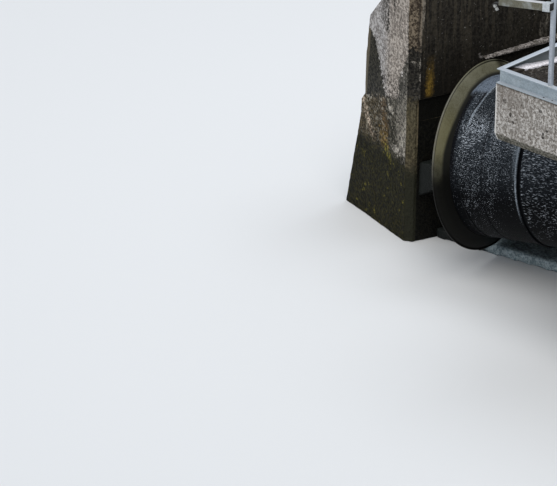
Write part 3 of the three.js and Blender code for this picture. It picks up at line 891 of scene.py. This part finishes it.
for k in range(bays):
    start = (k * bay if k else collar_end) + gap
    end = (k + 1) * bay
    stations = [(start, tube_in), (start, tube_r)]
    if k == 0:
        stations += [
            (0.208, tube_r), (0.214, tube_r + 0.006), (0.224, tube_r + 0.008),
            (0.234, tube_r + 0.006), (0.24, tube_r),
        ]
    seam_at = k * bay + weld_at
    stations += [
        (seam_at - 0.008, tube_r), (seam_at - 0.004, tube_r - 0.004),
        (seam_at + 0.004, tube_r - 0.004), (seam_at + 0.008, tube_r),
        (end - 0.046, tube_r), (end - 0.042, tube_r + 0.008), (end - 0.036, tube_r + 0.014),
        (end - 0.022, tube_r + 0.015), (end - 0.008, tube_r + 0.014),
        (end - 0.003, tube_r + 0.008), (end, tube_r - 0.002), (end, tube_in),
    ]
    section = turned_body(f"tube_bay_{k + 1}", stations, 192, smooth=40)
    settle(section, tube_look, "tube_coating", f"tube_{k + 1}", body="rotor")

# Screw inside the tube
# Core pipe with stub shafts, and three helical flights rolled from plate and welded to it, all in
# dark coated steel worn to rust along the plates.
screw_look, place, _ = new_look("screw_steel")
wear = noise(place, 8, 6, 0.65)
colour = over(ramp(wear, 0.35, 0.7), (0.03, 0.033, 0.03), (0.105, 0.105, 0.092))
rust = ramp(noise(place, 3.1, 6, 0.7, 0.8), 0.6, 0.72)
colour = over(rust, colour, (0.13, 0.055, 0.022))
finish_look(colour, 0.4, wear, 0.25, 0.006, 0.4, metal=0.2)
tube_end = bays * bay
core = turned_body(
    "core_pipe",
    [
        (-0.47, 0.062), (-0.462, 0.07), (-0.112, 0.07), (-0.104, 0.078), (-0.1, 0.192),
        (-0.092, 0.2), (tube_end + 0.052, 0.2), (tube_end + 0.06, 0.192),
        (tube_end + 0.064, 0.105), (tube_end + 0.078, 0.09), (tube_end + 0.996, 0.09),
    ],
    96,
    solid=True,
)
settle(core, screw_look, "screw_steel", "core_shaft", body="rotor")
flights = 3
flight_plate = (0.5874, 0.012, 1)
flight_start = (0.494, 0, 0.13)
plates = 147
plate_turn = 7.5
pitch = 1.7
for f in range(flights):
    flight = begin(f"helical_flight_{f + 1}", bpy.ops.mesh.primitive_plane_add, size=1)
    open_mesh()
    bpy.ops.transform.resize(value=flight_plate, center_override=(0, 0, 0))
    bpy.ops.transform.rotate(value=math.pi / 2, orient_axis="X", center_override=(0, 0, 0))
    bpy.ops.transform.translate(value=flight_start)
    bpy.ops.mesh.delete(type="ONLY_FACE")
    close_mesh()
    coil = flight.modifiers.new("coil", "SCREW")
    coil.angle = math.radians(plates * plate_turn)
    coil.screw_offset = plates * plate_turn * pitch / 360
    coil.steps = coil.render_steps = 2 * plates
    apply_all(flight)
    open_mesh()
    bpy.ops.mesh.fill_holes(sides=4)
    bpy.ops.mesh.select_all(action="SELECT")
    turn = -f * 2 * math.pi / flights
    bpy.ops.transform.rotate(value=turn, orient_axis="Z", center_override=(0, 0, 0))
    bpy.ops.mesh.remove_doubles(threshold=0.00001)
    bpy.ops.mesh.normals_make_consistent(inside=False)
    close_mesh()
    flight.data.transform(on_screw)
    shade_smooth(35)
    settle(flight, screw_look, "screw_steel", f"flight_{f + 1}", body="rotor")

# Bearings
# Split cast housings in grey-green paint with bolted covers, the upper one on a steel stool.
machine_dust, entry, leave = effect(
    "machine_dust", {"Place": None, "Facing": None}, ["Dust", "Chips", "Height"]
)
up_face = ramp(along(entry["Facing"], (0, 0, 1)), 0.2, 0.95)
soil = noise(entry["Place"], 13, 6, 0.65)
chips = ramp(noise(entry["Place"], 34, 4, 0.7), 0.66, 0.7)
feed(leave, dict(Dust=up_face * ramp(soil, 0.3, 0.75), Chips=chips, Height=soil - chips))


def machine_paint(name, dark, light):
    look, place, facing = new_look(name)
    signs = place_effect(machine_dust, place, Facing=facing)
    colour = over(noise(place, 5, 5), dark, light)
    colour = coats(
        colour, (signs["Chips"], (0.11, 0.06, 0.035)), (signs["Dust"] * 0.6, (0.24, 0.22, 0.18))
    )
    finish_look(colour, 0.45, signs["Height"], 0.2, 0.004)
    return look


def select_faces(piece, toward):
    bpy.ops.mesh.select_all(action="DESELECT")
    close_mesh()
    for face in piece.data.polygons:
        face.select = face.normal.dot(toward) > 0.9
    bpy.ops.object.mode_set(mode="EDIT")


def bolt_head(name, size, look, slot, places, body="structure"):
    first = begin(
        name, bpy.ops.mesh.primitive_cylinder_add,
        vertices=6, radius=size, depth=size, location=(0, 0, size * 0.7),
    )
    open_mesh()
    select_faces(first, Vector((0, 0, 1)))
    bpy.ops.mesh.inset(thickness=size * 0.16)
    bpy.ops.transform.translate(value=(0, 0, size * 0.12))
    select_faces(first, Vector((0, 0, -1)))
    bpy.ops.mesh.extrude_region_move(TRANSFORM_OT_translate={"value": (0, 0, 0)})
    bpy.ops.transform.resize(value=(1.35, 1.35, 1), center_override=(0, 0, 0))
    bpy.ops.mesh.extrude_region_move(TRANSFORM_OT_translate={"value": (0, 0, -size * 0.2)})
    bpy.ops.mesh.select_all(action="SELECT")
    close_mesh()
    for count, (where, outward) in enumerate(places):
        bolt = copy_of(first, f"{name}_{count + 1}")
        turn_out = Vector(outward).to_track_quat("Z", "Y").to_matrix().to_4x4()
        bolt.matrix_world = Matrix.Identity(4)
        bolt.data.transform(Matrix.Translation(where) @ turn_out)
        settle(bolt, look, slot, body=body)
    bpy.data.objects.remove(first)


def cast_block(name, low, high, edge, taper=1, at=0):
    low, high = (Vector((*corner[:2], at + corner[2])) for corner in (low, high))
    block = begin(name, bpy.ops.mesh.primitive_cube_add, size=1)
    middle = (high + low) / 2
    open_mesh()
    bpy.ops.transform.resize(value=tuple(high - low), center_override=(0, 0, 0))
    bpy.ops.transform.translate(value=tuple(middle))
    select_faces(block, Vector((0, 1, 0)))
    bpy.ops.transform.resize(value=(taper, 1, taper), center_override=tuple(middle))
    close_mesh()
    soften_edges(block, edge, 3)
    block.data.transform(on_screw)
    return block


def edged_piece(node, name, look, slot, edge, segments=2):
    piece = from_node(node, name)
    soften_edges(piece, edge, segments)
    settle(piece, look, slot, node)


def bolts_up(rows, top, stations):
    return [(on_screw @ Vector((c, top, s)), upward) for c in rows for s in stations]


def bolts_round(radius, s, count, forward, start=0):
    places = []
    for k in range(count):
        q = start + k * 2 * math.pi / count
        on_circle = Vector((radius * math.cos(q), radius * math.sin(q), s))
        places.append((on_screw @ on_circle, screw_axis * forward))
    return places


bearing_look = machine_paint("bearing_paint", (0.045, 0.065, 0.052), (0.09, 0.118, 0.096))
upper_at = tube_end + 0.72
for node, s0, s1, inner, outer in (
    ("lower_bearing", -0.46, -0.29, 0.076, 0.13),
    ("upper_bearing", upper_at - 0.09, upper_at + 0.09, 0.096, 0.19),
):
    cover = (
        (0, inner), (0, outer - 0.03), (0.012, outer - 0.022), (0.03, outer - 0.018), (0.036, outer)
    )
    stations = [(s0 + s, r) for s, r in cover] + [(s1 - s, r) for s, r in reversed(cover)]
    settle(turned_body(node + "_housing", stations, 96), bearing_look, "bearing_paint", node)
bolt_head(
    "lower_cover_bolt", 0.008, bearing_look, "bearing_paint", bolts_round(0.088, -0.29, 6, 1, 0.3)
)
bolt_head(
    "upper_cover_bolt", 0.011, bearing_look, "bearing_paint",
    bolts_round(0.135, upper_at - 0.09, 8, -1, 0.2)
    + bolts_round(0.135, upper_at + 0.09, 8, 1, 0.2),
)
edged_piece(
    "bearing_stool", "bearing_stool_casting", bearing_look, "bearing_paint", 0.012, segments=3
)
for side, end in ((-1, "front"), (1, "rear")):
    for name, (low_c, high_c), low_u, high_u, half, edge in (
        ("foot", sorted((side * 0.105, side * 0.212)), -0.1897, -0.15, 0.075, 0.01),
        ("lug", sorted((side * 0.18, side * 0.216)), -0.03, 0.03, 0.06, 0.008),
    ):
        low, high = (low_c, low_u, upper_at - half), (high_c, high_u, upper_at + half)
        block = cast_block(f"upper_bearing_{name}_{end}", low, high, edge)
        settle(block, bearing_look, "bearing_paint")
bolt_head(
    "upper_foot_bolt", 0.013, bearing_look, "bearing_paint",
    bolts_up((-0.19, 0.19), -0.15, (upper_at - 0.045, upper_at + 0.045))
    + bolts_up((-0.201, 0.201), 0.03, (upper_at - 0.035, upper_at + 0.035)),
)

# Drive
# Gear unit with a split flange, ribs and covers, and a finned motor with a fan cover and terminal
# box, cast and painted dull blue, with a flanged coupling on the shaft.
drive_look = machine_paint("drive_paint", (0.02, 0.055, 0.085), (0.045, 0.105, 0.155))
gear_s = (tube_end + 1.01, tube_end + 1.4)
edged_piece("gearbox", "gearbox_casing", drive_look, "drive_paint", 0.018, segments=3)
for name, half, low_u, high_u, low_s, high_s, edge in (
    ("gearbox_split_flange", 0.262, -0.022, 0.022, gear_s[0] + 0.006, gear_s[1] - 0.012, 0.006),
    ("gearbox_base_flange", 0.275, -0.2997, -0.268, gear_s[0] + 0.01, gear_s[1] - 0.012, 0.006),
    ("gearbox_lid", 0.15, 0.2303, 0.242, gear_s[0] + 0.08, gear_s[1] - 0.08, 0.003),
):
    plate = cast_block(name, (-half, low_u, low_s), (half, high_u, high_s), edge)
    settle(plate, drive_look, "drive_paint")
for side, end in ((-1, "front"), (1, "rear")):
    low_c, high_c = sorted((side * 0.238, side * 0.262))
    for k in range(4):
        s = gear_s[0] + 0.06 + k * 0.088
        for part, low_u, high_u in (("low", -0.268, -0.022), ("high", 0.022, 0.19)):
            low, high = (low_c, low_u, s - 0.006), (high_c, high_u, s + 0.006)
            rib = cast_block(f"gearbox_rib_{part}_{k + 1}_{end}", low, high, 0.003)
            settle(rib, drive_look, "drive_paint")
for name, size, row, top, stations in (
    ("split_bolt", 0.009, 0.251, 0.022, [gear_s[0] + 0.104 + k * 0.088 for k in range(3)]),
    ("anchor_bolt", 0.012, 0.262, -0.268, [gear_s[0] + 0.104 + k * 0.176 for k in range(2)]),
    ("lid_bolt", 0.007, 0.132, 0.242, (gear_s[0] + 0.1, gear_s[0] + 0.195, gear_s[1] - 0.1)),
):
    bolt_head(name, size, drive_look, "drive_paint", bolts_up((-row, row), top, stations))
motor_s = gear_s[1] + gap
motor = turned_body("motor_barrel", [
    (0, 0.15), (0, 0.17), (0.006, 0.175), (0.03, 0.175), (0.036, 0.168), (0.044, 0.15),
    (0.062, 0.146), (0.35, 0.146), (0.356, 0.15), (0.366, 0.168), (0.372, 0.172), (0.462, 0.172),
    (0.48, 0.166), (0.492, 0.15), (0.488, 0.135), (0.496, 0.128), (0.49, 0.112), (0.499, 0.105),
    (0.492, 0.088), (0.499, 0.08), (0.492, 0.062), (0.499, 0.055),
], 96, solid=True, at=motor_s)
settle(motor, drive_look, "drive_paint", "motor")
fin_low, fin_high = (0.1445, -0.0022, 0.064), (0.172, 0.0022, 0.348)
first_fin = cast_block("motor_fin_1", fin_low, fin_high, 0.0012, at=motor_s)
unplace = on_screw.inverted()
fin_angles = [math.radians(a) for a in range(0, 360, 10) if not 66 < a < 114]
for k, angle in enumerate(fin_angles):
    fin = copy_of(first_fin, f"motor_fin_{k + 1}") if k else first_fin
    if k:
        fin.data.transform(on_screw @ Matrix.Rotation(angle - fin_angles[0], 4, "Z") @ unplace)
    fin.data.materials.clear()
    settle(fin, drive_look, "drive_paint")
for name, low, high, edge, taper in (
    ("terminal_box", (-0.07, 0.14, 0.12), (0.07, 0.215, 0.29), 0.008, 0.94),
    ("terminal_lid", (-0.074, 0.2153, 0.116), (0.074, 0.226, 0.294), 0.003, 1),
    ("motor_foot_rear", (0.085, -0.2997, 0.1), (0.135, -0.118, 0.31), 0.008, 0.9),
    ("motor_foot_front", (-0.135, -0.2997, 0.1), (-0.085, -0.118, 0.31), 0.008, 0.9),
    ("motor_rail", (-0.19, -0.2997, 0.09), (0.19, -0.282, 0.32), 0.004, 1),
):
    part = cast_block(name, low, high, edge, taper, at=motor_s)
    settle(part, drive_look, "drive_paint")
for name, size, row, top, stations in (
    ("terminal_screw", 0.005, 0.06, 0.226, (motor_s + 0.13, motor_s + 0.28)),
    ("motor_rail_bolt", 0.01, 0.165, -0.282, (motor_s + 0.125, motor_s + 0.285)),
):
    bolt_head(name, size, drive_look, "drive_paint", bolts_up((-row, row), top, stations))
coupling = turned_body("shaft_coupling", [
    (0.862, 0.0905), (0.862, 0.118), (0.868, 0.124), (0.908, 0.124), (0.914, 0.16), (0.92, 0.165),
    (0.936, 0.165), (0.938, 0.158), (0.942, 0.158), (0.944, 0.165), (0.96, 0.165), (0.966, 0.16),
    (0.972, 0.124), (0.99, 0.12), (0.99, 0.0905),
], 96, at=tube_end)
settle(coupling, screw_look, "screw_steel", body="rotor")
coupling_bolts = bolts_round(0.145, tube_end + 0.9115, 8, -1)
bolt_head("coupling_bolt", 0.011, screw_look, "screw_steel", coupling_bolts, body="rotor")

# Deck
# Pale front beam with pin holes and brown runs, a thinner slab behind it, a pinkish mortar kerb
# packed against the left channel, and brown silt washed in behind the front channel.
deck_rise = 1.65
deck_look, place, facing = new_look("deck_concrete")
marks = place_effect(grit, place, Holes=0.19)
sand = marks["Sand"]
streaks = place_effect(runs, place, Spread=0.52)
colour = over(sand, (0.165, 0.148, 0.13), (0.525, 0.502, 0.473))
specks = ramp(noise(place, 66, 3, 0.75), 0.565, 0.625)
upright = 1 - ramp(abs(along(facing, (0, 0, 1))), 0.4, 0.8)
beam_x, beam_z = from_ring(place, "x"), from_ring(place, "z")
blow_holes = blobs(
    beam_x, beam_z,
    ((1.482, 1.501), (0.02, 0.022)), ((1.558, 1.381), (0.014, 0.026)),
    ((1.916, 1.528), (0.021, 0.017)), ((1.592, 1.312), (0.012, 0.017)),
    ((2.003, 1.347), (0.017, 0.014)), ((1.959, 1.307), (0.013, 0.018)),
)
tea = ramp(beam_x, 1.95, 1.45) * ramp(beam_z + marks["Cloud"] * 0.5, 1.6, 1.85)
# under: darker on faces turned down, painted shade on the beam's bottom chamfer.
under = ramp(along(facing, (0, 0, 1)), -0.3, -0.6)
over_edge = from_ring(place, "z", 1.14)
# Painted shade: a dark band just above the beam's bottom edge, on the front face.
chamfer_shade = (
    ramp(over_edge + (noise(place, 28, 4) - 0.5) * 0.05, 0.01, -0.006)
    * ramp(along(place, (0, 1, 0)), ring_centre.y - 1.4, ring_centre.y - 1.45)
)
# Painted highlight on the beam's left end edge.
lit_end_edge = from_ring(place, "x", 1.367)
top_line = from_ring(place, "z", deck_rise)
# Painted shadow under the channel's lower flange along the top of the beam.
flange_shadow = ramp(top_line + noise(place, 34, 4) * 0.05, 0, 0.022)
dirt = ramp(noise(place, 6, 6, 0.7), 0.35, 0.62)
top_side = ramp(along(facing, (0, 0, 1)), 0.6, 0.9)
washed = over(
    ramp(noise(place, 26, 5, 0.7), 0.38, 0.62), (0.014, 0.011, 0.008), (0.08, 0.062, 0.047)
)
colour = coats(
    colour,
    (specks * 0.6, (0.095, 0.082, 0.07)),
    (ramp(marks["Cloud"], 0.54, 0.42) * 0.45, (0.215, 0.198, 0.175)),
    (streaks["Mask"] * (upright * 0.42), (0.105, 0.085, 0.066)),
    (marks["Pits"] * 0.8, (0.055, 0.046, 0.038)),
    (marks["Holes"], (0.022, 0.018, 0.015)),
    (blow_holes * 0.9, (0.018, 0.015, 0.012)),
    (marks["Stones"] * 0.35, (0.62, 0.59, 0.55)),
    (tea * 0.45, (0.15, 0.128, 0.108)),
    # Painted shade on faces turned down.
    (under * 0.5, over(sand, (0.055, 0.046, 0.036), (0.2, 0.18, 0.15))),
    (chamfer_shade * 0.85, over(sand, (0.038, 0.036, 0.025), (0.155, 0.146, 0.116))),
    (ramp(lit_end_edge, 0.022, 0.012) * 0.85, (0.7, 0.685, 0.66)),
    (flange_shadow * 0.75, (0.055, 0.042, 0.032)),
    (top_side * slide(dirt, 0, 1, 0.72, 1), washed),
)
finish_look(colour, 0.92, marks["Height"], 0.9, 0.015, 0.2)
beam = from_node("deck_beam", "deck_beam_cast")
ways = [Vector(way) for way in ((1, 0, 0), (0, 0, 1), (0, 1, 0))]
crisp_skin(beam, 0.03, 0.006, 0.004, 0.006, *ways)
settle(beam, deck_look, "deck_concrete", "deck_beam")
cast_piece("deck_slab", "deck_slab_cast", deck_look, "deck_concrete", 0.028, 0.01, 0.012)

kerb_look, place, _ = new_look("kerb_mortar")
marks = place_effect(grit, place, Holes=0.05)
colour = over(marks["Sand"], (0.66, 0.62, 0.645), (0.88, 0.85, 0.88))
from_web = from_ring(place, "x", 1.38)
from_corner = from_ring(place, "y", -1.335) * 0.72
# Darker wedge of the kerb towards the front corner.
front_dark_wedge = ramp(from_web - from_corner + (marks["Cloud"] - 0.5) * 0.03, -0.003, 0.006)
colour = coats(
    colour,
    (ramp(marks["Cloud"], 0.55, 0.42) * 0.14, (0.46, 0.42, 0.41)),
    # Painted shadow: a dark line along the kerb where it meets the channel web.
    (ramp(from_web, 0.012, 0.004) * 0.8, (0.06, 0.052, 0.048)),
    (front_dark_wedge, (0.034, 0.026, 0.02)),
)
finish_look(colour, 0.9, marks["Height"], 0.6, 0.01, 0.3)
cast_piece("deck_kerb", "kerb_cast", kerb_look, "mortar", 0.008, 0.004, 0.003)

silt_look, place, _ = new_look("washed_silt")
marks = place_effect(grit, place, Holes=0.1)
lumps = noise(place, 26, 5, 0.7)
colour = over(ramp(lumps, 0.36, 0.64), (0.007, 0.0055, 0.004), (0.038, 0.029, 0.022))
colour = over(marks["Stones"] * 0.5, colour, (0.21, 0.19, 0.17))
finish_look(colour, 0.9, lumps + marks["Height"], 1, 0.03, 0.3)
cast_piece("deck_silt", "silt_heap", silt_look, "silt", 0.013, 0.02, 0.03)

# Channel frame on the deck
# Hot-dip galvanised rolled channel, open side out, butted and welded at the corners and bolted
# down through the lower flange in pairs.
zinc, entry, leave = effect("zinc_skin", {"Place": None}, ["Spangle", "Bloom", "Dirt"])
flakes = put("ShaderNodeTexVoronoi", {"Vector": entry["Place"], "Scale": 85})
tone = put("ShaderNodeSeparateColor", {0: flakes["Color"]})[0]
feed(leave, dict(
    Spangle=tone,
    Bloom=ramp(noise(entry["Place"], 7, 6, 0.65), 0.5, 0.72),
    Dirt=ramp(noise(entry["Place"], 21, 5, 0.7), 0.58, 0.72),
))


def zinc_look(name, dark, light, dirt_share, painted_top_highlight=None, painted_side_shading=None, dark_spots=()):
    look, place, facing = new_look(name)
    skin = place_effect(zinc, place)
    colour = over(skin["Spangle"], dark, light)
    scored = noise(stretched(place, (9, 160, 160)), 1, 2)
    colour = coats(
        colour,
        (skin["Bloom"] * 0.35, (0.6, 0.65, 0.68)),
        (skin["Dirt"] * dirt_share, (0.1, 0.085, 0.065)),
        (ramp(scored, 0.5, 0.62) * 0.16, (0.16, 0.17, 0.18)),
    )
    # Painted highlight on faces turned up.
    if painted_top_highlight:
        colour = over(ramp(along(facing, (0, 0, 1)), 0.5, 0.8) * 0.8, colour, painted_top_highlight)
    # Painted shading on faces turned towards +x: darker on the channel webs and in the arm's open
    # end, lighter on the railing.
    if painted_side_shading:
        colour = over(ramp(along(facing, (1, 0, 0)), 0.6, 0.9) * 0.9, colour, painted_side_shading)
    # Darker spots on the hook's upper bends.
    if dark_spots:
        hook_dark_spots = blobs(from_ring(place, "x"), from_ring(place, "z"), *dark_spots)
        colour = over(hook_dark_spots, (0.018, 0.017, 0.014), colour)
    finish_look(colour, 0.5, skin["Bloom"], 0.08, 0.003, metal=0.35)
    return look


# Painted highlight on the channel flanges' top faces and painted shade on the webs facing +x.
frame_look = zinc_look(
    "galvanised_steel", (0.3, 0.355, 0.385), (0.41, 0.475, 0.515), 0.3, (0.45, 0.478, 0.52),
    (0.185, 0.205, 0.2),
)
# Painted light on the posts' faces turned towards +x.
rail_look = zinc_look(
    "railing_steel", (0.31, 0.338, 0.38), (0.43, 0.462, 0.512), 0.25, painted_side_shading=(0.48, 0.53, 0.58)
)
# Painted highlight on the arm's top and painted shade in its open end.
arm_look = zinc_look(
    "weathered_arm", (0.1, 0.095, 0.064), (0.165, 0.156, 0.108), 0.5, (0.6, 0.6, 0.62),
    (0.012, 0.014, 0.018),
)
hook_look = zinc_look(
    "hook_steel", (0.3, 0.3, 0.28), (0.44, 0.44, 0.42), 0.4,
    dark_spots=(((1.349, 2.433), (0.016, 0.017)), ((1.375, 2.409), (0.018, 0.017))),
)
clip_look = zinc_look("clip_steel", (0.42, 0.45, 0.46), (0.6, 0.63, 0.64), 0.2)
bolt_look = zinc_look("stained_bolt", (0.03, 0.034, 0.04), (0.07, 0.074, 0.08), 0.5)

for node in ("frame_front", "frame_right", "frame_rear", "frame_left"):
    edged_piece(node, node + "_channel", frame_look, "galvanised_steel", 0.0025)
flange_top = ring_centre.z + deck_rise + 0.0093
front_y = ring_centre.y - 1.506
rear_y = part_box("frame_rear")[1][1] - 0.03
bolt_x = [ring_centre.x + x + d for x in (2.005, 3.265, 4.525) for d in (-0.08, 0.025)]
for name, y in (("frame_bolt", front_y), ("rear_frame_bolt", rear_y)):
    places = [((x, y, flange_top), (0, 0, 1)) for x in bolt_x]
    bolt_head(name, 0.0085, bolt_look, "galvanised_steel", places)

# Railing
# Square posts welded to the front channel under a top rail, a weathered short arm clipped to the
# first post, and a bent hook on its free end.
for node in ("post_1", "post_2", "post_3", "top_rail"):
    edged_piece(node, node + "_bar", rail_look, "railing_steel", 0.005)
edged_piece("sloping_rail", "sloping_rail_bar", arm_look, "railing_steel", 0.005)
edged_piece("rail_bracket", "rail_bracket_clip", clip_look, "railing_steel", 0.0015)
edged_piece("end_hook", "end_hook_strap", hook_look, "railing_steel", 0.004)
for k, node in enumerate(("post_1", "post_2", "post_3")):
    low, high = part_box(node)
    weld = begin(f"post_weld_{k + 1}", bpy.ops.mesh.primitive_plane_add, size=0.041)
    open_mesh()
    bpy.ops.transform.resize(value=(1.32, 1.32, 1), center_override=(0, 0, 0))
    bpy.ops.mesh.extrude_region_move(TRANSFORM_OT_translate={"value": (0, 0, 0.003)})
    bpy.ops.mesh.extrude_region_move(TRANSFORM_OT_translate={"value": (0, 0, 0.006)})
    bpy.ops.transform.resize(value=(0.78, 0.78, 1), center_override=(0, 0, 0))
    bpy.ops.mesh.select_all(action="SELECT")
    bpy.ops.mesh.normals_make_consistent(inside=False)
    bpy.ops.mesh.subdivide(number_cuts=7)
    close_mesh()
    dent_surface(weld, 0.001, 0.005)
    shade_smooth(60)
    foot = ((low[0] + high[0]) / 2, (low[1] + high[1]) / 2, low[2])
    weld.data.transform(Matrix.Translation(foot))
    settle(weld, clip_look, "railing_steel")
top_low, top_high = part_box("top_rail")
for k, x in enumerate((top_low[0], top_high[0])):
    cap = begin(f"rail_end_cap_{k + 1}", bpy.ops.mesh.primitive_cube_add, size=0.044)
    open_mesh()
    bpy.ops.transform.resize(value=(0.22, 1, 1), center_override=(0, 0, 0))
    close_mesh()
    soften_edges(cap, 0.003, 3)
    cap.data.transform(
        Matrix.Translation((x, (top_low[1] + top_high[1]) / 2, (top_low[2] + top_high[2]) / 2))
    )
    settle(cap, bolt_look, "railing_steel")
